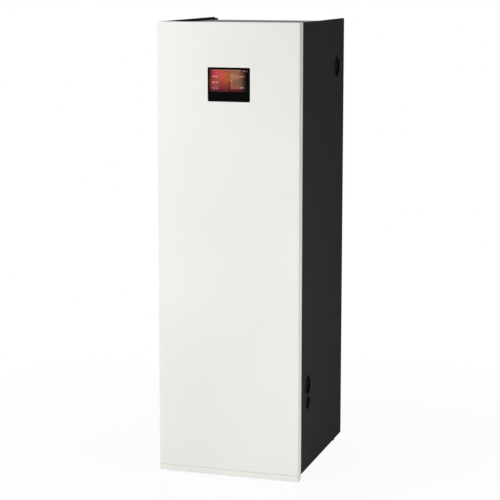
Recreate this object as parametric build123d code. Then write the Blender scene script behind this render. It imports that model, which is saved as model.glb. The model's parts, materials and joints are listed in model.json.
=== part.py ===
from build123d import *
import os

os.makedirs("parts", exist_ok=True)

# Cabinet as a whole: X to the right seen from the front, Y to the rear, Z up from the floor
cabinet_width = 590.0
cabinet_depth = 690.0
cabinet_height = 1840.0
front_clearance = 10.0
side_clearance = 28.0

# White front: a folded door pan above a separate bottom strip
front_depth = 43.0
front_sheet = 1.5
front_bend = 2.5
front_lip = 18.0
strip_height = 23.0
strip_gap = 0.6
strip_upstand = 30.0
panel_joint = 3.0

# Touch display let into the door
display_width = 174.0
display_height = 134.0
display_corner = 5.0
display_offset = 6.0
display_below_top = 242.5
display_rim = 1.6
display_fit = 0.3
housing_flange = 7.0
housing_flange_thickness = 2.0
housing_depth = 24.0
glass_thickness = 3.0
glass_inset = 0.4
glass_chamfer = 0.2
screen_thickness = 4.0
screen_margin_left = 6.0
screen_margin_right = 11.0
screen_margin_top = 7.5
screen_margin_bottom = 36.5

# Dark side panels with folded edges
side_sheet = 1.2
side_bend = 2.0
side_return = 25.0
side_return_drop = 4.0
top_flange = 12.5
top_lip = 9.0
bottom_flange = 15.0

# Round knock-outs in the side panels: one high at the rear, a large and a small one low at the front
upper_hole_diameter = 82.0
upper_hole_from_rear = 121.0
upper_hole_below_top = 197.0
large_hole_diameter = 74.0
large_hole_back = 139.0
large_hole_height = 378.0
small_hole_diameter = 52.0
small_hole_gap = 11.0
small_hole_setback = 2.0

# Blanking plug pressed into a knock-out
plug_overlap = 2.5
plug_rim = 1.2
plug_recess = 6.0
plug_wall = 1.8
plug_fit = 0.4

# Galvanised top tray, sunk between the side panels
tray_recess = 12.0
tray_sheet = 1.2
tray_bend = 2.0
tray_fit = 0.3
tray_upstand_gap = 2.0
tray_front_upstand = 10.0
tray_rear_fold = 22.0

# Rubber grommets in the tray
pipe_grommet_diameter = 44.0
pipe_grommet_pitch = 80.0
pipe_grommet_count = 4
pipe_grommet_from_rear = 330.0
cable_grommet_diameter = 28.0
cable_grommet_pitch = 60.0
cable_grommet_count = 2
cable_grommet_from_rear = 430.0
grommet_lip = 3.0
grommet_height = 1.6
grommet_membrane = 1.0

# Galvanised rear panel with pressed beads
rear_sheet = 1.2
rear_bend = 2.5
rear_fold = 9.0
rear_fit = 1.0
bead_count = 4
bead_length = 420.0
bead_width = 26.0
bead_depth = 4.0
bead_draft = 25.0

# Base: plate with edges folded down, on two rails
base_sheet = 2.0
base_bend = 3.0
base_floor_height = 57.0
base_flange = 24.0
base_fit = 0.5
rail_width = 56.0
rail_height = 24.0
rail_wall = 2.5
rail_corner = 4.0
rail_end_gap = 2.0

# Levelling feet
foot_pad_diameter = 40.0
foot_pad_edge = 5.0
foot_pad_height = 13.0
foot_neck_diameter = 20.0
foot_socket_depth = 6.0
foot_from_side = 40.0
foot_from_end = 36.0
stud_diameter = 12.0
stud_spare = 5.0
stud_fit = 0.2
nut_across_flats = 19.0
nut_height = 8.0

# Inner block and door liner
liner_fit = 3.0

front_y = -cabinet_depth / 2
rear_y = cabinet_depth / 2
side_x = cabinet_width / 2
side_front_y = front_y + front_depth + panel_joint
rear_face_y = rear_y - side_sheet
door_bottom = front_clearance + strip_height + strip_gap
tray_floor = cabinet_height - tray_recess
tray_underside = tray_floor - tray_sheet
core_front_y = side_front_y + side_sheet
core_rear_y = rear_face_y - rear_fold
base_underside = base_floor_height - base_sheet
rail_bottom = base_underside - rail_height
rail_front_y = core_front_y + base_sheet + rail_end_gap
rail_rear_y = core_rear_y - base_sheet - rail_end_gap
foot_x = side_x - foot_from_side
foot_places = {
    "front_left": (-foot_x, side_front_y + foot_from_end),
    "front_right": (foot_x, side_front_y + foot_from_end),
    "rear_left": (-foot_x, rear_y - foot_from_end),
    "rear_right": (foot_x, rear_y - foot_from_end),
}
display_z = cabinet_height - display_below_top
screen_width = display_width - screen_margin_left - screen_margin_right
screen_height = display_height - screen_margin_top - screen_margin_bottom
screen_x = display_offset + (screen_margin_left - screen_margin_right) / 2
screen_z = display_z + (screen_margin_bottom - screen_margin_top) / 2
upper_hole_back = cabinet_depth - upper_hole_from_rear
upper_hole_height = cabinet_height - upper_hole_below_top
small_hole_back = large_hole_back + small_hole_setback
small_hole_height = large_hole_height - large_hole_diameter / 2 - small_hole_gap - small_hole_diameter / 2

# Each knock-out's diameter, distance behind the front and height above the floor
holes = {
    "upper": (upper_hole_diameter, upper_hole_back, upper_hole_height),
    "large": (large_hole_diameter, large_hole_back, large_hole_height),
    "small": (small_hole_diameter, small_hole_back, small_hole_height),
}


def block(x, y, z):
    """Box between the low and high limits given for each axis."""
    size = Box(x[1] - x[0], y[1] - y[0], z[1] - z[0])
    return Pos((x[0] + x[1]) / 2, (y[0] + y[1]) / 2, (z[0] + z[1]) / 2) * size


def centred(width):
    """Low and high limit of a width that is centred on the cabinet."""
    return (-width / 2, width / 2)


def front_sketch(shape, x, y, z, depth):
    """Flat shape facing the front at (x, y, z), carried back by depth."""
    face = Plane(origin=(x, y, z), x_dir=(1, 0, 0), z_dir=(0, -1, 0)) * shape
    return extrude(face, amount=-depth)


def folded_sheet(points, bend, sheet):
    """Section of a sheet of even thickness, folded along the line down its middle to an outer bend radius."""
    return trace(FilletPolyline(*points, radius=bend - sheet / 2), line_width=sheet)


def carried_back(section, start, end):
    """Section drawn in X and Z, carried along Y from start to end."""
    return front_sketch(section, 0, start, 0, end - start)


def carried_across(section, half_width):
    """Section drawn in Y and Z, carried along X to both sides of the middle plane."""
    return extrude(Plane.YZ * section, amount=half_width, both=True)


def display_outline(growth):
    """The display's rounded outline, grown by the same amount on every side."""
    return RectangleRounded(display_width + 2 * growth, display_height + 2 * growth, display_corner + growth)


def side_hole(side, diameter, back, height, inner, outer):
    """Round bar across the side, from inner to outer distance off the cabinet's middle plane."""
    bar = Rot(0, 90, 0) * Cylinder(diameter / 2, outer - inner)
    return Pos(side * (inner + outer) / 2, front_y + back, height) * bar


def save(part, name):
    """Write one piece as its own file."""
    part.label = name
    export_step(part, f"parts/{name}.step")


def make_front_panel():
    """Door pan: one sheet folded back on all four sides, with lips turned in behind."""
    inside = cabinet_width - 2 * front_sheet
    rear = front_y + front_depth
    outer = block(centred(cabinet_width), (front_y, rear), (door_bottom, cabinet_height))
    outer = fillet(outer.faces().sort_by(Axis.Y)[0].edges(), front_bend)
    cavity = block(
        centred(inside),
        (front_y + front_sheet, rear - front_sheet),
        (door_bottom + front_sheet, cabinet_height - front_sheet),
    )
    cavity = fillet(cavity.faces().sort_by(Axis.Y)[0].edges(), front_bend - front_sheet)
    opening = block(
        centred(inside - 2 * front_lip),
        (front_y + front_sheet, rear),
        (door_bottom + front_sheet + front_lip, cabinet_height - front_sheet - front_lip),
    )
    window = front_sketch(display_outline(display_fit), display_offset, front_y, display_z, front_sheet)
    return outer - cavity - opening - window


def make_front_strip():
    """Bottom strip: a shallow pan, open behind, with a tongue back to an upstand under the inner block."""
    strip_top = front_clearance + strip_height
    tongue_half = cabinet_width / 2 - front_sheet - front_lip
    rear = front_y + front_depth
    outer = block(centred(cabinet_width), (front_y, rear), (front_clearance, strip_top))
    outer = fillet(outer.faces().sort_by(Axis.Y)[0].edges(), front_bend)
    cavity = block(
        centred(cabinet_width - 2 * front_sheet),
        (front_y + front_sheet, rear),
        (front_clearance + front_sheet, strip_top - front_sheet),
    )
    cavity = fillet(cavity.faces().sort_by(Axis.Y)[0].edges(), front_bend - front_sheet)
    tongue = folded_sheet(
        [
            (rear - front_bend, front_clearance + front_sheet / 2),
            (side_front_y - front_sheet / 2, front_clearance + front_sheet / 2),
            (side_front_y - front_sheet / 2, front_clearance + strip_upstand),
        ],
        front_bend,
        front_sheet,
    )
    return outer - cavity + carried_across(tongue, tongue_half)


def make_display_housing():
    """Black frame that clips in from behind, with a step for the glass and a pocket for the screen."""
    rear_face = front_y + front_sheet
    collar_depth = front_sheet + housing_depth
    screen_bed = glass_inset + glass_thickness + screen_thickness
    body = front_sketch(display_outline(0), display_offset, front_y, display_z, collar_depth)
    flange = front_sketch(
        display_outline(housing_flange), display_offset, rear_face, display_z, housing_flange_thickness
    )
    step = front_sketch(
        display_outline(-display_rim), display_offset, front_y, display_z, glass_inset + glass_thickness
    )
    pocket = front_sketch(Rectangle(screen_width, screen_height), screen_x, front_y, screen_z, screen_bed)
    return body + flange - step - pocket


def make_display_glass():
    """Cover glass with rounded corners, seated on the housing's step."""
    outline = display_outline(-display_rim - display_fit)
    glass = front_sketch(outline, display_offset, front_y + glass_inset, display_z, glass_thickness)
    return chamfer(glass.faces().sort_by(Axis.Y)[0].edges(), glass_chamfer)


def make_display_screen():
    """Screen module behind the glass, flat against its back."""
    shape = Rectangle(screen_width - 2 * display_fit, screen_height - 2 * display_fit)
    return front_sketch(shape, screen_x, front_y + glass_inset + glass_thickness, screen_z, screen_thickness)


def make_door_liner():
    """Sound-damping mat that fills the door pan and lies against the inner block."""
    half = side_x - side_return - liner_fit
    edge = front_sheet + front_lip + liner_fit
    height = (door_bottom + edge, cabinet_height - edge)
    liner = block((-half, half), (front_y + front_sheet, core_front_y), height)
    flange_depth = front_sheet + housing_flange_thickness
    recess = front_sketch(display_outline(housing_flange), display_offset, front_y, display_z, flange_depth)
    well = front_sketch(display_outline(0), display_offset, front_y, display_z, front_sheet + housing_depth)
    return liner - recess - well


def make_side_panel(side):
    """Folded sheet: returns at front and rear, a hem turned down inside at the top, a flange below."""
    middle_x = side_x - side_sheet / 2
    return_x = side_x - side_return
    plan = folded_sheet(
        [
            (return_x, side_front_y + side_sheet / 2),
            (middle_x, side_front_y + side_sheet / 2),
            (middle_x, rear_y - side_sheet / 2),
            (return_x, rear_y - side_sheet / 2),
        ],
        side_bend,
        side_sheet,
    )
    hem_x = side_x - top_flange + side_sheet / 2
    hem_z = cabinet_height - side_sheet / 2
    flange_z = side_clearance + side_sheet / 2
    elevation = folded_sheet(
        [
            (side_x - bottom_flange, flange_z),
            (middle_x, flange_z),
            (middle_x, hem_z),
            (hem_x, hem_z),
            (hem_x, cabinet_height - top_lip),
        ],
        side_bend,
        side_sheet,
    )
    channel_bottom = side_clearance + side_bend
    channel_top = cabinet_height - side_return_drop
    panel = extrude(Pos(0, 0, channel_bottom) * plan, amount=channel_top - channel_bottom)
    panel += carried_back(elevation, side_front_y + side_bend, rear_y - side_bend)
    for diameter, back, height in holes.values():
        panel -= side_hole(1, diameter, back, height, return_x, side_x + side_sheet)
    if side < 0:
        panel = mirror(panel, Plane.YZ)
    return panel


def make_plug(side, diameter, back, height):
    """Dished blanking plug: a thin rim over the sheet and a flat face set well back."""
    bore = diameter / 2 - plug_fit
    outline = Polyline(
        (0, -plug_recess - plug_wall),
        (bore, -plug_recess - plug_wall),
        (bore, 0),
        (diameter / 2 + plug_overlap, 0),
        (diameter / 2 + plug_overlap, plug_rim),
        (bore - plug_wall, plug_rim),
        (bore - plug_wall, -plug_recess),
        (0, -plug_recess),
        close=True,
    )
    plug = revolve(Plane.XZ * make_face(outline), Axis.Z)
    return Pos(side * side_x, front_y + back, height) * Rot(0, side * 90, 0) * plug


def grommet_places():
    """Grommet diameter and place on the tray: a row for pipes and a row for cables in front of it."""
    rows = (
        (pipe_grommet_diameter, pipe_grommet_pitch, pipe_grommet_count, pipe_grommet_from_rear),
        (cable_grommet_diameter, cable_grommet_pitch, cable_grommet_count, cable_grommet_from_rear),
    )
    for diameter, pitch, count, from_rear in rows:
        for index in range(count):
            yield diameter, (index - (count - 1) / 2) * pitch, rear_y - from_rear


def make_top_tray():
    """Sunk tray: upstands under the side hems and at the front, and a fold down over the rear panel."""
    wall_x = side_x - top_flange + side_sheet + tray_fit + tray_sheet / 2
    wall_top = cabinet_height - side_sheet - tray_upstand_gap
    middle_z = tray_floor - tray_sheet / 2
    across = folded_sheet(
        [(-wall_x, wall_top), (-wall_x, middle_z), (wall_x, middle_z), (wall_x, wall_top)],
        tray_bend,
        tray_sheet,
    )
    along = folded_sheet(
        [
            (core_front_y + tray_sheet / 2, tray_floor + tray_front_upstand),
            (core_front_y + tray_sheet / 2, middle_z),
            (rear_face_y + tray_sheet / 2, middle_z),
            (rear_face_y + tray_sheet / 2, tray_floor - tray_rear_fold),
        ],
        tray_bend,
        tray_sheet,
    )
    tray = carried_back(across, core_front_y + tray_bend, rear_face_y - tray_fit)
    tray += carried_across(along, side_x - side_return - tray_fit)
    for diameter, x, y in grommet_places():
        tray -= Pos(x, y, tray_floor) * Cylinder(diameter / 2, 2 * tray_recess)
    return tray


def make_grommet(diameter, x, y):
    """Closed rubber grommet: a rounded lip over the tray's floor and a thin sunk membrane."""
    bore = diameter / 2
    outline = Polyline(
        (0, -tray_sheet),
        (bore, -tray_sheet),
        (bore, 0),
        (bore + grommet_lip, 0),
        (bore, grommet_height),
        (bore - 2 * grommet_lip, grommet_membrane - tray_sheet),
        (0, grommet_membrane - tray_sheet),
        close=True,
    )
    return Pos(x, y, tray_floor) * revolve(Plane.XZ * make_face(outline), Axis.Z)


def make_grommets(diameter):
    """All grommets of one diameter, as solids that don't touch."""
    return Compound(children=[make_grommet(*place) for place in grommet_places() if place[0] == diameter])


def make_rear_panel():
    """Shallow pan between the side panels, its edges folded forward, with beads pressed inwards."""
    half = side_x - side_sheet - rear_fit
    bottom = base_floor_height - base_flange
    outer = block((-half, half), (core_rear_y, rear_face_y), (bottom, tray_underside))
    outer = fillet(outer.faces().sort_by(Axis.Y)[-1].edges(), rear_bend)
    inner = block(
        (-half + rear_sheet, half - rear_sheet),
        (core_rear_y, rear_face_y - rear_sheet),
        (bottom + rear_sheet, tray_underside - rear_sheet),
    )
    inner = fillet(inner.faces().sort_by(Axis.Y)[-1].edges(), rear_bend - rear_sheet)
    panel = outer - inner
    pitch = (tray_underside - bottom) / (bead_count + 1)
    for index in range(bead_count):
        height = bottom + (index + 1) * pitch
        inside = Plane(origin=(0, rear_face_y - rear_sheet, height), x_dir=(-1, 0, 0), z_dir=(0, 1, 0))
        outside = inside.offset(rear_sheet)
        inner_slot = SlotOverall(bead_length - rear_sheet, bead_width - rear_sheet)
        panel += extrude(inside * SlotOverall(bead_length, bead_width), amount=-bead_depth, taper=bead_draft)
        panel -= extrude(outside * inner_slot, amount=-bead_depth, taper=bead_draft)
    return panel


def make_base_plate():
    """Base plate with its four edges folded down."""
    half = side_x - side_sheet - base_fit
    bottom = base_floor_height - base_flange
    plate = block((-half, half), (core_front_y, core_rear_y), (bottom, base_floor_height))
    plate = fillet(plate.edges().filter_by(Axis.Z), base_bend)
    plate = fillet(plate.faces().sort_by(Axis.Z)[-1].edges(), base_bend)
    under = block(
        (-half + base_sheet, half - base_sheet),
        (core_front_y + base_sheet, core_rear_y - base_sheet),
        (bottom, base_underside),
    )
    under = fillet(under.edges().filter_by(Axis.Z), base_bend - base_sheet)
    return plate - under


def make_rail(side):
    """Box-section rail under the base plate, bored for the studs of two feet."""
    inner_width = rail_width - 2 * rail_wall
    inner_height = rail_height - 2 * rail_wall
    section = RectangleRounded(rail_width, rail_height, rail_corner)
    section -= RectangleRounded(inner_width, inner_height, rail_corner - rail_wall)
    middle_z = base_underside - rail_height / 2
    rail = carried_back(Pos(side * foot_x, middle_z) * section, rail_front_y, rail_rear_y)
    for place_x, place_y in foot_places.values():
        if place_x * side > 0:
            bore = Cylinder(stud_diameter / 2 + stud_fit, 2 * (rail_wall + stud_fit))
            rail -= Pos(place_x, place_y, rail_bottom) * bore
    return rail


def make_foot_pad(x, y):
    """Round levelling pad: a flat disc that rises in a cone to the neck round the stud."""
    socket = stud_diameter / 2 + stud_fit
    outline = Polyline(
        (0, 0),
        (foot_pad_diameter / 2, 0),
        (foot_pad_diameter / 2, foot_pad_edge),
        (foot_neck_diameter / 2, foot_pad_height),
        (socket, foot_pad_height),
        (socket, foot_pad_height - foot_socket_depth),
        (0, foot_pad_height - foot_socket_depth),
        close=True,
    )
    return Pos(x, y, 0) * revolve(Plane.XZ * make_face(outline), Axis.Z)


def make_foot_stud(x, y):
    """Threaded stud from the pad's socket up into the rail."""
    bottom = foot_pad_height - foot_socket_depth
    length = base_underside - rail_wall - stud_spare - bottom
    return Pos(x, y, bottom + length / 2) * Cylinder(stud_diameter / 2, length)


def make_foot_nut(x, y):
    """Hexagon lock nut, tight against the rail."""
    hexagon = RegularPolygon(nut_across_flats / 2, 6, major_radius=False)
    section = hexagon - Circle(stud_diameter / 2 + stud_fit)
    return Pos(x, y, rail_bottom - nut_height) * extrude(section, amount=nut_height)


def make_core():
    """Closed inner block behind the panels, with a seat for each plug."""
    width = cabinet_width - 2 * side_sheet
    core = block(centred(width), (core_front_y, core_rear_y), (base_floor_height, tray_underside))
    core = fillet(core.edges().filter_by(Axis.Z), side_bend)
    seat_x = side_x - plug_recess - plug_wall
    for side in (-1, 1):
        for diameter, back, height in holes.values():
            core -= side_hole(side, diameter, back, height, seat_x, side_x)
    return core


save(make_front_panel(), "front_panel")
save(make_front_strip(), "front_strip")
save(make_display_housing(), "display_housing")
save(make_display_glass(), "display_glass")
save(make_display_screen(), "display_screen")
save(make_door_liner(), "door_liner")
save(make_top_tray(), "top_tray")
save(make_core(), "inner_block")
save(make_grommets(pipe_grommet_diameter), "pipe_grommets")
save(make_grommets(cable_grommet_diameter), "cable_grommets")
save(make_rear_panel(), "rear_panel")
save(make_base_plate(), "base_plate")
for side, side_name in ((-1, "left"), (1, "right")):
    save(make_side_panel(side), f"side_panel_{side_name}")
    save(make_rail(side), f"base_rail_{side_name}")
    for hole_name, hole in holes.items():
        save(make_plug(side, *hole), f"{hole_name}_plug_{side_name}")
for place_name, place in foot_places.items():
    save(make_foot_pad(*place), f"foot_pad_{place_name}")
    save(make_foot_stud(*place), f"foot_stud_{place_name}")
    save(make_foot_nut(*place), f"foot_nut_{place_name}")
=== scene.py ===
import bpy
import bmesh
import json
import math
import numpy as np
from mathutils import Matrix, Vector


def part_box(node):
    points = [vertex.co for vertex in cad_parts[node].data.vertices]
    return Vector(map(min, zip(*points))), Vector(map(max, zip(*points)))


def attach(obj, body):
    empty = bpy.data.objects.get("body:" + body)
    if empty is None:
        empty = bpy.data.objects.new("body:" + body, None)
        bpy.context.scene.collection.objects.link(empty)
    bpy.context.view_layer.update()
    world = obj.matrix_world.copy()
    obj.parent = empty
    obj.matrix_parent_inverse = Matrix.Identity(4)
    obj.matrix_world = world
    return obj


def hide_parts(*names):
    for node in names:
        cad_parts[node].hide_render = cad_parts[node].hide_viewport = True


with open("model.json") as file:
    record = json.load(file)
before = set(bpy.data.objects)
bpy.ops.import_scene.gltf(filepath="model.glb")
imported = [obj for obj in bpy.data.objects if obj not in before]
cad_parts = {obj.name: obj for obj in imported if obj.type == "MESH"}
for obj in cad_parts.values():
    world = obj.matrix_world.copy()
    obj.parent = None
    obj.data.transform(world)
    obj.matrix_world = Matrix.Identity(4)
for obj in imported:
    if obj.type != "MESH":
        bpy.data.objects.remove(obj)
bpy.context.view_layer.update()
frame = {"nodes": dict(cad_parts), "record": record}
nodes = frame["nodes"]
print("frame loaded:", len(nodes), "nodes")

# camera first: to the right of the cabinet and a little above its top, looking slightly down
cameraSet = {
    "place": (1.992, -6.378, 2.041),  # metres
    "turn": 17.47,  # degrees to the left of straight back
    "tilt": 8.94,  # degrees down
    "lens": 116.7,
    "sensor": 36.0,
    "shiftY": -0.05,
    "clip": (0.1, 60.0),  # nearest and farthest seen, metres
}


def makeCamera(s):
    data = bpy.data.cameras.new("photoCamera")
    data.lens = s["lens"]
    data.sensor_width = s["sensor"]
    data.shift_y = s["shiftY"]
    data.clip_start, data.clip_end = s["clip"]
    camera = bpy.data.objects.new("photoCamera", data)
    bpy.context.scene.collection.objects.link(camera)
    camera.location = s["place"]
    camera.rotation_euler = (math.radians(90 - s["tilt"]), 0, math.radians(s["turn"]))
    bpy.context.scene.camera = camera


makeCamera(cameraSet)
bpy.context.scene.view_settings.view_transform = "Standard"
print("camera set")


# node helpers

def linearTone(value):
    # one channel from the 0 to 255 screen scale to linear light
    v = value / 255.0
    return v / 12.92 if v <= 0.04045 else ((v + 0.055) / 1.055) ** 2.4


def screenColour(red, green, blue):
    return (linearTone(red), linearTone(green), linearTone(blue), 1.0)


def mm(value):
    # millimetres to metres
    return value / 1000


def setOrLink(tree, socket, value):
    # a plain number or colour is set on the socket, anything else is linked to it
    if isinstance(value, (int, float, tuple)):
        socket.default_value = value
    else:
        tree.links.new(value, socket)


def newGroup(name, inputs, outputs):
    # inputs: name -> (kind, start value); outputs: name -> kind
    kinds = {"value": "NodeSocketFloat", "vector": "NodeSocketVector"}
    group = bpy.data.node_groups.new(name, "ShaderNodeTree")
    for label, (kind, start) in inputs.items():
        socket = group.interface.new_socket(name=label, in_out="INPUT", socket_type=kinds[kind])
        if start is not None:
            socket.default_value = start
    for label, kind in outputs.items():
        group.interface.new_socket(name=label, in_out="OUTPUT", socket_type=kinds[kind])
    return group, group.nodes.new("NodeGroupInput").outputs, group.nodes.new("NodeGroupOutput").inputs


def addMath(tree, operation, first, second=None, third=None, clamp=False):
    node = tree.nodes.new("ShaderNodeMath")
    node.operation = operation
    node.use_clamp = clamp
    for socket, value in zip(node.inputs, (first, second, third)):
        if value is not None:
            setOrLink(tree, socket, value)
    return node.outputs[0]


def addNoise(tree, vector, scale, detail=1.0, roughness=0.5):
    node = tree.nodes.new("ShaderNodeTexNoise")
    node.inputs["Detail"].default_value = detail
    node.inputs["Roughness"].default_value = roughness
    setOrLink(tree, node.inputs["Vector"], vector)
    setOrLink(tree, node.inputs["Scale"], scale)
    return node.outputs["Fac"]


def addSpread(tree, value, low, high, newLow, newHigh, kind="LINEAR"):
    # carries a value from one range to another, held at the ends
    node = tree.nodes.new("ShaderNodeMapRange")
    node.interpolation_type = kind
    setOrLink(tree, node.inputs["Value"], value)
    for label, number in (("From Min", low), ("From Max", high), ("To Min", newLow), ("To Max", newHigh)):
        setOrLink(tree, node.inputs[label], number)
    return node.outputs["Result"]


cloudBand = (0.3, 0.7)  # noise seldom leaves this range


def addCloud(tree, vector, scale, detail, low, high):
    # slow noise carried from its own band to another range
    return addSpread(tree, addNoise(tree, vector, scale, detail), *cloudBand, low, high)


def addMix(tree, factor, first, second):
    # colour mix: inputs 0, 6 and 7 are its factor and its two colours, output 2 is the result
    node = tree.nodes.new("ShaderNodeMix")
    node.data_type = "RGBA"
    for index, value in ((0, factor), (6, first), (7, second)):
        setOrLink(tree, node.inputs[index], value)
    return node.outputs[2]


def addGroup(tree, group, values):
    node = tree.nodes.new("ShaderNodeGroup")
    node.node_tree = group
    for label, value in values.items():
        setOrLink(tree, node.inputs[label], value)
    return node.outputs


def addSplit(tree, vector):
    node = tree.nodes.new("ShaderNodeSeparateXYZ")
    tree.links.new(vector, node.inputs[0])
    return node.outputs


def addBump(tree, height, distance):
    node = tree.nodes.new("ShaderNodeBump")
    node.inputs["Distance"].default_value = distance
    tree.links.new(height, node.inputs["Height"])
    return node.outputs["Normal"]


def newMaterial(name):
    # gives the material, its tree, its shader's inputs and the place on the object
    material = bpy.data.materials.new(name)
    material.use_nodes = True
    tree = material.node_tree
    place = tree.nodes.new("ShaderNodeTexCoord").outputs["Object"]
    return material, tree, tree.nodes["Principled BSDF"].inputs, place


# finish groups, each built once

powderSet = {
    "peel": 700.0, "peelDetail": 2.0, "peelRoughness": 0.6,
    "speckRatio": 3.1, "speckShare": 0.35, "sheet": 2.5, "peelShare": 0.25,
}


def makePowderGrain(s):
    # sprayed powder: fine orange peel, finer specks, and the slow unevenness of a large sheet
    group, given, result = newGroup(
        "powderGrain",
        {"Vector": ("vector", None), "Peel": ("value", s["peel"]), "Sheet": ("value", s["sheet"])},
        {"Height": "value", "Tone": "value"},
    )
    peel = addNoise(group, given["Vector"], given["Peel"], s["peelDetail"], s["peelRoughness"])
    speck = addNoise(group, given["Vector"], addMath(group, "MULTIPLY", given["Peel"], s["speckRatio"]))
    sheet = addNoise(group, given["Vector"], given["Sheet"])
    group.links.new(addMath(group, "MULTIPLY_ADD", speck, s["speckShare"], peel), result["Height"])
    group.links.new(addMath(group, "MULTIPLY_ADD", peel, s["peelShare"], sheet), result["Tone"])
    return group


spangleSet = {
    "crystals": 120.0, "warpScale": 60.0, "warpReach": 0.008,
    "cloudScale": 7.0, "cloudDetail": 3.0, "cloudShare": 0.5,
}


def makeZincSpangle(s):
    # galvanised sheet: crystals a few millimetres across, each with its own tone and gloss
    group, given, result = newGroup(
        "zincSpangle",
        {"Vector": ("vector", None), "Crystals": ("value", s["crystals"])},
        {"Tone": "value", "Gloss": "value", "Height": "value"},
    )
    warp = group.nodes.new("ShaderNodeTexNoise")
    warp.inputs["Scale"].default_value = s["warpScale"]
    group.links.new(given["Vector"], warp.inputs["Vector"])
    shift = group.nodes.new("ShaderNodeVectorMath")
    shift.operation = "MULTIPLY_ADD"
    shift.inputs[1].default_value = (s["warpReach"],) * 3
    group.links.new(warp.outputs["Color"], shift.inputs[0])
    group.links.new(given["Vector"], shift.inputs[2])
    cells = group.nodes.new("ShaderNodeTexVoronoi")
    group.links.new(shift.outputs[0], cells.inputs["Vector"])
    group.links.new(given["Crystals"], cells.inputs["Scale"])
    split = group.nodes.new("ShaderNodeSeparateColor")
    group.links.new(cells.outputs["Color"], split.inputs["Color"])
    cloud = addNoise(group, given["Vector"], s["cloudScale"], s["cloudDetail"])
    cloud = addMath(group, "MULTIPLY", cloud, s["cloudShare"])
    tone = addMath(group, "MULTIPLY_ADD", split.outputs[0], 1 - s["cloudShare"], cloud)
    group.links.new(tone, result["Tone"])
    group.links.new(split.outputs[1], result["Gloss"])
    group.links.new(cells.outputs["Distance"], result["Height"])
    return group


skinSet = {
    "grain": 1800.0, "grainDetail": 2.0, "grainRoughness": 0.55,
    "blotchScale": 25.0, "blotchDetail": 3.0,
}


def makeMouldedSkin(s):
    # eroded mould texture of matt plastic and rubber
    group, given, result = newGroup(
        "mouldedSkin",
        {"Vector": ("vector", None), "Grain": ("value", s["grain"])},
        {"Height": "value", "Tone": "value"},
    )
    grain = addNoise(group, given["Vector"], given["Grain"], s["grainDetail"], s["grainRoughness"])
    group.links.new(grain, result["Height"])
    group.links.new(addNoise(group, given["Vector"], s["blotchScale"], s["blotchDetail"]), result["Tone"])
    return group


def makeRoundedWindow():
    # 1 inside a rounded rectangle facing the front, 0 outside, from its distance:
    # d = length(max(|p - centre| - (half - corner), 0)) - corner
    group, given, result = newGroup(
        "roundedWindow",
        {
            "Vector": ("vector", None), "X": ("value", 0.0), "Z": ("value", 0.0),
            "Half width": ("value", 0.01), "Half height": ("value", 0.01),
            "Corner": ("value", 0.002), "Soft": ("value", 0.0006),
        },
        {"Mask": "value"},
    )
    place = addSplit(group, given["Vector"])
    squares = []
    for axis, centre, half in ((0, "X", "Half width"), (2, "Z", "Half height")):
        offset = addMath(group, "ABSOLUTE", addMath(group, "SUBTRACT", place[axis], given[centre]))
        straight = addMath(group, "SUBTRACT", given[half], given["Corner"])
        past = addMath(group, "MAXIMUM", addMath(group, "SUBTRACT", offset, straight), 0.0)
        squares.append(addMath(group, "POWER", past, 2.0))
    length = addMath(group, "SQRT", addMath(group, "ADD", *squares))
    ratio = addMath(group, "DIVIDE", addMath(group, "SUBTRACT", length, given["Corner"]), given["Soft"])
    group.links.new(addMath(group, "SUBTRACT", 0.5, ratio, clamp=True), result["Mask"])
    return group


def makeSoftGlow():
    # 1 at a point of the screen, falling smoothly to 0 at its reach:
    # f = 1 - |(p - centre) / reach|, mask = 3 f2 - 2 f3
    group, given, result = newGroup(
        "softGlow",
        {
            "Vector": ("vector", None), "X": ("value", 0.0), "Z": ("value", 0.0),
            "Reach X": ("value", 0.05), "Reach Z": ("value", 0.05),
        },
        {"Mask": "value"},
    )
    place = addSplit(group, given["Vector"])
    squares = []
    for axis, centre, reach in ((0, "X", "Reach X"), (2, "Z", "Reach Z")):
        offset = addMath(group, "ABSOLUTE", addMath(group, "SUBTRACT", place[axis], given[centre]))
        squares.append(addMath(group, "POWER", addMath(group, "DIVIDE", offset, given[reach]), 2.0))
    length = addMath(group, "SQRT", addMath(group, "ADD", *squares))
    group.links.new(addSpread(group, length, 0.0, 1.0, 1.0, 0.0, "SMOOTHSTEP"), result["Mask"])
    return group


powderGrain = makePowderGrain(powderSet)
zincSpangle = makeZincSpangle(spangleSet)
mouldedSkin = makeMouldedSkin(skinSet)
roundedWindow = makeRoundedWindow()
softGlow = makeSoftGlow()
print("finish groups made")


# kinds of finish: the group, the input that sets how fine it is, and the part of its tone in use
powder = {"group": powderGrain, "input": "Peel", "tones": (0.4, 0.85)}
zinc = {"group": zincSpangle, "input": "Crystals", "tones": (0.2, 0.8)}
moulded = {"group": mouldedSkin, "input": "Grain", "tones": (0.3, 0.7)}

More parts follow.
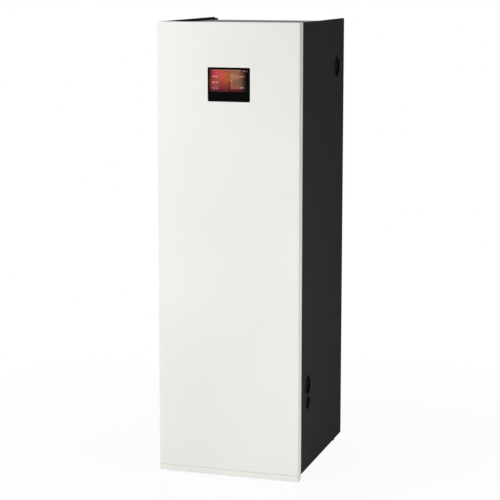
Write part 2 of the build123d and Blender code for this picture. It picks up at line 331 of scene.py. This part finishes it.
doorPaint = {
    "light": (0.825, 0.82, 0.776, 1), "shade": (0.79, 0.786, 0.745, 1),
    "roughness": (0.38, 0.48), "specular": 0.4, "fineness": 650.0, "depth": 0.00004,
}
sidePaint = {
    "light": (0.034, 0.035, 0.037, 1), "shade": (0.0292, 0.0301, 0.032, 1),
    "roughness": (0.62, 0.74), "specular": 0.004, "fineness": 850.0, "depth": 0.00006,
}
sheetZinc = {
    "light": (0.27, 0.275, 0.28, 1), "shade": (0.215, 0.22, 0.225, 1),
    "roughness": (0.36, 0.46), "specular": 0.5, "metallic": 0.75, "fineness": 110.0, "depth": 0.000008,
}
# the tray's sheet is duller, and its darker tones are painted shade of the sunk tray floor
trayZincDullWithPaintedShade = {
    "light": (0.178, 0.18, 0.178, 1), "shade": (0.146, 0.148, 0.146, 1),
    "roughness": (0.6, 0.72), "specular": 0.03, "metallic": 0.12, "fineness": 110.0, "depth": 0.000008,
}
boltZinc = {
    "light": (0.62, 0.62, 0.60, 1), "shade": (0.48, 0.48, 0.47, 1),
    "roughness": (0.24, 0.38), "specular": 0.5, "metallic": 0.95, "fineness": 420.0, "depth": 0.000004,
}
plugSkin = {
    "light": (0.0085, 0.0085, 0.009, 1), "shade": (0.006, 0.006, 0.0065, 1),
    "roughness": (0.5, 0.62), "specular": 0.006, "fineness": 1800.0, "depth": 0.00003,
}
footSkin = {
    "light": (0.022, 0.022, 0.022, 1), "shade": (0.014, 0.014, 0.014, 1),
    "roughness": (0.5, 0.65), "specular": 0.4, "fineness": 1500.0, "depth": 0.00003,
}
rubberSkin = {
    "light": (0.018, 0.018, 0.018, 1), "shade": (0.011, 0.011, 0.011, 1),
    "roughness": (0.62, 0.78), "specular": 0.3, "fineness": 1200.0, "depth": 0.00003,
}
linerSkin = {
    "light": (0.05, 0.05, 0.052, 1), "shade": (0.03, 0.03, 0.031, 1),
    "roughness": (0.85, 0.95), "specular": 0.2, "fineness": 300.0, "depth": 0.0004,
}
innerSkin = {**linerSkin, "fineness": 260.0}
frameSkin = {
    "light": (0.006, 0.006, 0.007, 1), "shade": (0.004, 0.004, 0.0045, 1),
    "roughness": (0.25, 0.35), "specular": 0.06, "fineness": 2400.0, "depth": 0.00001,
}


def makeFinish(name, kind, s):
    # the tone mixes the two colours; roughness follows the group's gloss, or the tone where it has none
    material, tree, shader, place = newMaterial(name)
    skin = addGroup(tree, kind["group"], {"Vector": place, kind["input"]: s["fineness"]})
    tone = addSpread(tree, skin["Tone"], *kind["tones"], 0.0, 1.0)
    gloss = skin["Gloss"] if "Gloss" in skin else tone
    tree.links.new(addMix(tree, tone, s["shade"], s["light"]), shader["Base Color"])
    tree.links.new(addSpread(tree, gloss, 0.0, 1.0, *s["roughness"]), shader["Roughness"])
    tree.links.new(addBump(tree, skin["Height"], s["depth"]), shader["Normal"])
    shader["Metallic"].default_value = s.get("metallic", 0.0)
    shader["Specular IOR Level"].default_value = s["specular"]
    return material


# the lit picture: a warm gradient with plain marks, in millimetres from the screen's top left corner
picture = {
    "ground": screenColour(132, 46, 42),
    "glows": [
        # x, z, reach x, reach z, colour, strength
        (70.0, 22.0, 60.0, 62.0, screenColour(196, 98, 54), 1.0),
        (112.0, 22.0, 62.0, 60.0, screenColour(150, 104, 66), 0.95),
        (52.0, 36.0, 34.0, 26.0, screenColour(224, 84, 68), 0.85),
        (46.0, 54.0, 36.0, 26.0, screenColour(172, 70, 58), 0.6),
        (26.0, 52.0, 32.0, 46.0, screenColour(178, 92, 88), 0.8),
        (48.0, 17.0, 30.0, 24.0, screenColour(212, 96, 78), 0.8),
        (29.0, 13.0, 26.0, 24.0, screenColour(226, 72, 104), 1.0),
        (54.0, 76.0, 44.0, 16.0, screenColour(142, 48, 70), 0.8),
        (84.0, 62.0, 12.0, 30.0, screenColour(86, 30, 22), 0.7),
    ],
    "cardTint": screenColour(138, 98, 76),
    "rimTint": screenColour(190, 116, 98),
    "rowTint": screenColour(255, 158, 148),
    "lowTint": screenColour(214, 142, 156),
    "lineTint": screenColour(216, 150, 116),
    "topTint": screenColour(190, 138, 128),
    "dotTint": screenColour(206, 200, 196),
    "behind": [
        # x, z, half width, half height, corner, tint, strength
        (117.0, 45.0, 30.5, 32.0, 2.0, "rimTint", 0.35),
        (119.5, 42.0, 28.0, 28.0, 2.0, "cardTint", 0.85),
        (93.0, 44.0, 9.0, 26.0, 6.0, "rimTint", 0.3),
        (97.0, 22.0, 13.0, 9.0, 8.0, "lineTint", 0.35),
        (106.0, 20.5, 17.0, 3.6, 3.4, "rimTint", 0.4),
        (112.0, 70.5, 25.0, 3.4, 1.6, "rimTint", 0.45),
        (66.0, 2.2, 62.0, 2.4, 1.6, "topTint", 0.4),
    ],
    "front": [
        (16.3, 28.4, 5.4, 3.0, 2.6, "rowTint", 0.95),
        (29.4, 28.4, 5.0, 3.0, 2.6, "rowTint", 0.95),
        (16.3, 50.8, 5.4, 3.0, 2.6, "rowTint", 0.85),
        (29.4, 50.8, 5.0, 3.0, 2.6, "rowTint", 0.85),
        (16.3, 74.0, 5.4, 3.0, 2.6, "lowTint", 0.6),
        (29.4, 74.0, 5.0, 3.0, 2.6, "lowTint", 0.6),
        (116.5, 26.8, 28.0, 1.7, 1.6, "lineTint", 0.85),
        (108.0, 34.0, 17.0, 1.6, 1.5, "lineTint", 0.75),
        (90.6, 42.3, 3.6, 3.2, 3.1, "rowTint", 0.7),
        (133.5, 70.6, 7.0, 2.3, 2.2, "dotTint", 0.6),
        (94.0, 4.2, 36.0, 1.0, 0.9, "topTint", 0.6),
        (142.6, 6.1, 2.4, 2.4, 2.3, "dotTint", 0.85),
        (154.4, 6.1, 2.2, 2.2, 2.1, "dotTint", 0.85),
    ],
    "dark": (0.003, 0.001, 0.002, 1),
    "panel": ((0.006, 0.006, 0.006, 1), (0.012, 0.012, 0.012, 1)),
    "panelGrain": 900.0,
    "panelRoughness": 0.4,
    "panelSpecular": 0.02,
    "fadeDown": (72.0, 92.0),
    "fadeRight": (117.0, 153.0),
    "fadeLeft": (-4.0, 7.0),
    "brightness": 1.18,
}


def makeScreenPicture(s):
    # glows over the ground, then the marks behind and in front of the darkening towards the edges
    material, tree, shader, place = newMaterial("screenPicture")
    low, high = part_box("display_screen")
    split = addSplit(tree, place)
    colour = s["ground"]
    for x, z, reachX, reachZ, tint, strength in s["glows"]:
        glow = addGroup(tree, softGlow, {
            "Vector": place, "X": low.x + mm(x), "Z": high.z - mm(z),
            "Reach X": mm(reachX), "Reach Z": mm(reachZ),
        })
        colour = addMix(tree, addMath(tree, "MULTIPLY", glow["Mask"], strength), colour, tint)
    for layer in ("behind", "front"):
        for x, z, halfWidth, halfHeight, corner, tint, strength in s[layer]:
            window = addGroup(tree, roundedWindow, {
                "Vector": place, "X": low.x + mm(x), "Z": high.z - mm(z),
                "Half width": mm(halfWidth), "Half height": mm(halfHeight), "Corner": mm(corner),
            })
            colour = addMix(tree, addMath(tree, "MULTIPLY", window["Mask"], strength), colour, s[tint])
        if layer == "behind":
            # the picture sinks into black towards the left, the right and the bottom
            start, end = (high.z - mm(z) for z in s["fadeDown"])
            lit = addSpread(tree, split[2], end, start, 0.0, 1.0)
            for label, inner, outer in (("fadeRight", 1.0, 0.0), ("fadeLeft", 0.0, 1.0)):
                start, end = (low.x + mm(x) for x in s[label])
                fade = addSpread(tree, split[0], start, end, inner, outer, "SMOOTHSTEP")
                lit = addMath(tree, "MULTIPLY", lit, fade)
            colour = addMix(tree, lit, s["dark"], colour)
    grain = addNoise(tree, place, s["panelGrain"])
    tree.links.new(addMix(tree, grain, *s["panel"]), shader["Base Color"])
    tree.links.new(colour, shader["Emission Color"])
    shader["Emission Strength"].default_value = s["brightness"]
    shader["Specular IOR Level"].default_value = s["panelSpecular"]
    shader["Roughness"].default_value = s["panelRoughness"]
    return material


coverGlass = {
    "margin": 0.0006, "clear": 0.05, "border": (0.0012, 0.0012, 0.0014, 1), "specular": 0.035,
    "smudgeScale": 30.0, "smudgeDetail": 3.0, "roughness": (0.05, 0.12),
}


def makeCoverGlass(s):
    # black print on the back of the glass, with a clear window over the screen
    material, tree, shader, place = newMaterial("coverGlass")
    low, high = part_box("display_screen")
    window = addGroup(tree, roundedWindow, {
        "Vector": place, "X": (low.x + high.x) / 2, "Z": (low.z + high.z) / 2,
        "Half width": (high.x - low.x) / 2 - s["margin"], "Half height": (high.z - low.z) / 2 - s["margin"],
    })
    tree.links.new(addSpread(tree, window["Mask"], 0.0, 1.0, 1.0, s["clear"]), shader["Alpha"])
    smudge = addCloud(tree, place, s["smudgeScale"], s["smudgeDetail"], *s["roughness"])
    tree.links.new(smudge, shader["Roughness"])
    shader["Base Color"].default_value = s["border"]
    shader["Specular IOR Level"].default_value = s["specular"]
    return material


finishes = {
    "front_white": makeFinish("doorPowder", powder, doorPaint),
    "side_charcoal": makeFinish("sidePowder", powder, sidePaint),
    "galvanised_sheet": makeFinish("galvanisedSheet", zinc, sheetZinc),
    "zinc_steel": makeFinish("zincPlate", zinc, boltZinc),
    "plug_plastic": makeFinish("plugPlastic", moulded, plugSkin),
    "foot_plastic": makeFinish("footPlastic", moulded, footSkin),
    "grommet_rubber": makeFinish("grommetRubber", moulded, rubberSkin),
    "liner_foam": makeFinish("linerFoam", moulded, linerSkin),
    "inner_foam": makeFinish("innerFoam", moulded, innerSkin),
    "display_plastic": makeFinish("displayPlastic", moulded, frameSkin),
    "display_glass": makeCoverGlass(coverGlass),
    "display_picture": makeScreenPicture(picture),
}

slotOf = {part["node"]: part["material_slot"] for part in frame["record"]["subparts"]}
for name, node in nodes.items():
    node.data.materials.clear()
    node.data.materials.append(finishes[slotOf[name]])
nodes["top_tray"].data.materials[0] = makeFinish("trayZincDullWithPaintedShade", zinc, trayZincDullWithPaintedShade)  # the same sheet, duller, and darker as painted shade of the sunk tray
print("materials on:", len(finishes))


# surfaces worked out on grids

surfaceSet = {"mergeReach": 1e-6, "sharpAngle": 35}  # metres, degrees


def gridFaces(rows, columns):
    # quads of a grid of points whose last column meets its first
    index = np.arange(rows * columns).reshape(rows, columns)
    right = np.roll(index, -1, 1)
    return np.stack([index[:-1], right[:-1], right[1:], index[1:]], -1).reshape(-1, 4)


def makeSurface(name, copies, slot):
    # copies: array (copy, row, column, xyz); each copy is one closed grid, and all are one mesh
    count, rows, columns, _ = copies.shape
    faces = gridFaces(rows, columns)
    offsets = (np.arange(count) * rows * columns)[:, None, None]
    mesh = bpy.data.meshes.new(name)
    mesh.from_pydata(copies.reshape(-1, 3).tolist(), [], (faces + offsets).reshape(-1, 4).tolist())
    work = bmesh.new()
    work.from_mesh(mesh)
    bmesh.ops.remove_doubles(work, verts=work.verts, dist=surfaceSet["mergeReach"])
    bmesh.ops.recalc_face_normals(work, faces=work.faces)
    work.to_mesh(mesh)
    work.free()
    mesh.shade_smooth()
    mesh.set_sharp_from_angle(angle=math.radians(surfaceSet["sharpAngle"]))
    mesh.materials.append(finishes[slot])
    piece = bpy.data.objects.new(name, mesh)
    bpy.context.scene.collection.objects.link(piece)
    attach(piece, "root")
    return piece


# screws: raised countersunk heads with a six-lobed recess, let into the sheet and standing just proud of it
screwSet = {
    "headRadius": 0.0046, "crown": 0.001, "cone": 0.0012,
    "recessRadius": 0.0021, "recessDepth": 0.0015, "lobe": 0.16, "lobes": 6,
    "floorRows": (0.0, 0.5, 0.96), "crownRows": 9, "coneRows": (0.5, 0.0), "around": 36,
}


def screwHead(s):
    # rows run from the recess's middle over the crown and down the cone, columns turn about the axis:
    # recess edge e(a) = recess (1 + lobe cos(lobes a)), crown h(r) = crown (1 - (r / R)2), floor = h - depth
    angle = np.linspace(0, 2 * np.pi, s["around"], endpoint=False)[None, :]
    edge = s["recessRadius"] * (1 + s["lobe"] * np.cos(s["lobes"] * angle))
    floor = np.array(s["floorRows"])[:, None] * edge
    crown = edge + np.linspace(0, 1, s["crownRows"])[:, None] * (s["headRadius"] - edge)
    cone = np.array(s["coneRows"])[:, None] * np.full_like(angle, s["headRadius"])
    radius = np.vstack([floor, crown, cone])
    height = s["crown"] * (1 - (radius / s["headRadius"]) ** 2)
    height[:len(floor)] -= s["recessDepth"]
    height[-len(cone):] = -s["cone"]
    return radius * np.cos(angle), radius * np.sin(angle), height


def placeScrews(name, spots, outward, across, slot):
    # each head stands along outward at its spot: P = spot + across x + (outward x across) y + outward h
    x, y, height = screwHead(screwSet)
    outward, across = np.asarray(outward, float), np.asarray(across, float)
    head = x[..., None] * across + y[..., None] * np.cross(outward, across) + height[..., None] * outward
    return makeSurface(name, np.asarray(spots, float)[:, None, None, :] + head, slot)


rearSpacing = {"fromReturn": 0.012, "fromTop": 0.04, "fromBottom": 0.05, "rows": 6}


def makeRearScrews(s):
    # a row of screws up each side of the rear panel, beside the side panels' returns
    low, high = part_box("rear_panel")
    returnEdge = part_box("side_panel_right")[0].x
    heights = np.linspace(low.z + s["fromBottom"], high.z - s["fromTop"], s["rows"])
    for side, label in ((-1, "left"), (1, "right")):
        spots = [(side * (returnEdge - s["fromReturn"]), high.y, z) for z in heights]
        placeScrews(f"rearScrews_{label}", spots, (0, 1, 0), (1, 0, 0), "zinc_steel")


makeRearScrews(rearSpacing)
print("screws placed")


# foot studs with a real thread
threadSet = {
    "pitch": 0.00175, "depth": 0.00095, "lead": 0.0016, "flank": 1.25,
    "stepsPerTurn": 8, "around": 40,
}


def threadedStud(low, high, s):
    # r(z, a) = R - depth (1 - tooth), tooth = flank (1 - |2 frac(z / pitch - a / 2 pi) - 1|) held at 1,
    # eased to the core over the lead at each end; the first and last rows close on the axis
    centre = (low + high) / 2
    rows = int((high.z - low.z) / s["pitch"] * s["stepsPerTurn"]) + 1
    z = np.linspace(low.z, high.z, rows)[:, None]
    angle = np.linspace(0, 2 * np.pi, s["around"], endpoint=False)[None, :]
    phase = (z / s["pitch"] - angle / (2 * np.pi)) % 1.0
    tooth = np.clip(s["flank"] * (1 - np.abs(2 * phase - 1)), 0, 1)
    ease = np.clip(np.minimum(z - low.z, high.z - z) / s["lead"], 0, 1)
    radius = (high.x - low.x) / 2 - s["depth"] * (1 - tooth * ease)
    radius = np.vstack([0 * angle, radius, 0 * angle])
    z = np.vstack([[[low.z]], z, [[high.z]]])
    return np.stack([centre.x + radius * np.cos(angle), centre.y + radius * np.sin(angle), z + 0 * angle], -1)


for name in [n for n in nodes if n.startswith("foot_stud_")]:
    thread = threadedStud(*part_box(name), threadSet)
    stud = makeSurface(name.replace("foot_stud", "threadedStud"), thread[None], "zinc_steel")
    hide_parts(name)
print("studs threaded")


# soft seal in the joint behind the door
sealSet = {"inset": 0.007, "width": 0.005, "corner": 0.012, "steps": 8, "around": 12, "clear": 0.0002}


def doorSeal(s):
    # path C(u): a rounded rectangle with outward normal n(u); section: a half ellipse on each side of it,
    # P = C + n (width / 2) cos v, y = middle + reach sin v
    doorLow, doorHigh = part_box("front_panel")
    gap = (doorHigh.y + s["clear"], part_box("side_panel_right")[0].y - s["clear"])
    halfX = doorHigh.x - s["inset"] - s["corner"]
    lowZ, highZ = doorLow.z + s["inset"] + s["corner"], doorHigh.z - s["inset"] - s["corner"]
    middles = np.array([(halfX, highZ), (-halfX, highZ), (-halfX, lowZ), (halfX, lowZ)])
    turn = np.linspace(0, np.pi / 2, s["steps"])
    angle = (np.arange(4)[:, None] * np.pi / 2 + turn).ravel()
    normal = np.stack([np.cos(angle), np.sin(angle)], -1)
    path = np.repeat(middles, s["steps"], 0) + s["corner"] * normal
    sweep = np.linspace(0, 2 * np.pi, s["around"], endpoint=False)
    flat = path[:, None] + normal[:, None] * (s["width"] / 2 * np.cos(sweep))[:, None]
    depth = (gap[0] + gap[1]) / 2 + (gap[1] - gap[0]) / 2 * np.sin(sweep)
    loop = np.stack([flat[..., 0], np.broadcast_to(depth, flat.shape[:2]), flat[..., 1]], -1)
    return np.concatenate([loop, loop[:1]])


makeSurface("doorSeal", doorSeal(sealSet)[None], "grommet_rubber")
print("door seal made")


# studio: pale floor that whitens away from the cabinet, white surroundings, soft lamps
studio = {
    "floorSize": 40.0,
    "floorColour": (0.80, 0.80, 0.80, 1),
    "floorShade": (0.77, 0.77, 0.77, 1),
    "floorClouds": 0.7,
    "floorDetail": 2.0,
    "floorRoughness": 0.9,
    "floorSpecular": 0.1,
    "nearWhite": 0.94,
    "farWhite": 1.0,
    "near": 0.5,
    "far": 2.2,
    "surround": 0.15,
    "lamps": [
        # name, place, aim, size, power
        ("keyLamp", (-3.2, -4.2, 3.4), (-0.2, 0, 1.6), 2.2, 166.0),
        ("leftLamp", (-2.6, -2.0, 1.8), (0, -0.3, 1.6), 1.3, 34.0),
        ("lowLamp", (1.8, -1.75, 0.35), (0.3, -0.2, 0.1), 0.7, 12.2),
        ("rightLamp", (2.3, -0.9, 0.7), (0.3, -0.3, 0.6), 0.8, 9.8),
        ("backLamp", (-1.4, 4.6, 1.0), (0, 0.3, 0.9), 1.4, 120.0),
        ("topLamp", (0, 0.5, 4.4), (0, 0.15, 1.84), 1.5, 36.0),
    ],
}


def whiteWhenSeen(tree, soft, white, share, output):
    # camera, mirror and glass rays see plain white, all other rays the soft side
    rays = tree.nodes.new("ShaderNodeLightPath").outputs
    seen = addMath(tree, "MAXIMUM", rays["Is Camera Ray"], rays["Is Glossy Ray"])
    seen = addMath(tree, "MAXIMUM", seen, rays["Is Transmission Ray"])
    mix = tree.nodes.new("ShaderNodeMixShader")
    tree.links.new(addMath(tree, "MULTIPLY", seen, share), mix.inputs[0])
    tree.links.new(soft, mix.inputs[1])
    tree.links.new(white, mix.inputs[2])
    tree.links.new(mix.outputs[0], tree.nodes[output].inputs["Surface"])


def makeFloor(s):
    half = s["floorSize"] / 2
    points = [(-half, -half, 0), (half, -half, 0), (half, half, 0), (-half, half, 0)]
    mesh = bpy.data.meshes.new("studioFloor")
    mesh.from_pydata(points, [], [(0, 1, 2, 3)])
    floor = bpy.data.objects.new("studioFloor", mesh)
    bpy.context.scene.collection.objects.link(floor)
    material, tree, shader, place = newMaterial("floorPaper")
    cloud = addCloud(tree, place, s["floorClouds"], s["floorDetail"], 0.0, 1.0)
    tree.links.new(addMix(tree, cloud, s["floorShade"], s["floorColour"]), shader["Base Color"])
    shader["Roughness"].default_value = s["floorRoughness"]
    shader["Specular IOR Level"].default_value = s["floorSpecular"]
    # the share of white grows with the distance from the middle: length of (x, y)
    split = addSplit(tree, place)
    squares = [addMath(tree, "MULTIPLY", split[axis], split[axis]) for axis in (0, 1)]
    distance = addMath(tree, "SQRT", addMath(tree, "ADD", *squares))
    share = addSpread(tree, distance, s["near"], s["far"], s["nearWhite"], s["farWhite"], "SMOOTHSTEP")
    white = tree.nodes.new("ShaderNodeEmission")
    white.inputs["Strength"].default_value = 1.0
    whiteWhenSeen(tree, tree.nodes["Principled BSDF"].outputs[0], white.outputs[0], share, "Material Output")
    mesh.materials.append(material)


def makeSurround(s):
    world = bpy.data.worlds.new("studioWorld")
    bpy.context.scene.world = world
    world.use_nodes = True
    tree = world.node_tree
    soft = tree.nodes["Background"]
    soft.inputs["Color"].default_value = (1, 1, 1, 1)
    soft.inputs["Strength"].default_value = s["surround"]
    white = tree.nodes.new("ShaderNodeBackground")
    white.inputs["Color"].default_value = (1, 1, 1, 1)
    whiteWhenSeen(tree, soft.outputs[0], white.outputs[0], 1.0, "World Output")


def makeLamp(name, place, aim, size, power):
    # a square soft lamp turned towards the point it lights
    data = bpy.data.lights.new(name, "AREA")
    data.size = size
    data.energy = power
    lamp = bpy.data.objects.new(name, data)
    bpy.context.scene.collection.objects.link(lamp)
    lamp.location = place
    lamp.rotation_euler = (Vector(aim) - Vector(place)).to_track_quat("-Z", "Y").to_euler()


makeFloor(studio)
makeSurround(studio)
for lamp in studio["lamps"]:
    makeLamp(*lamp)
print("studio set")
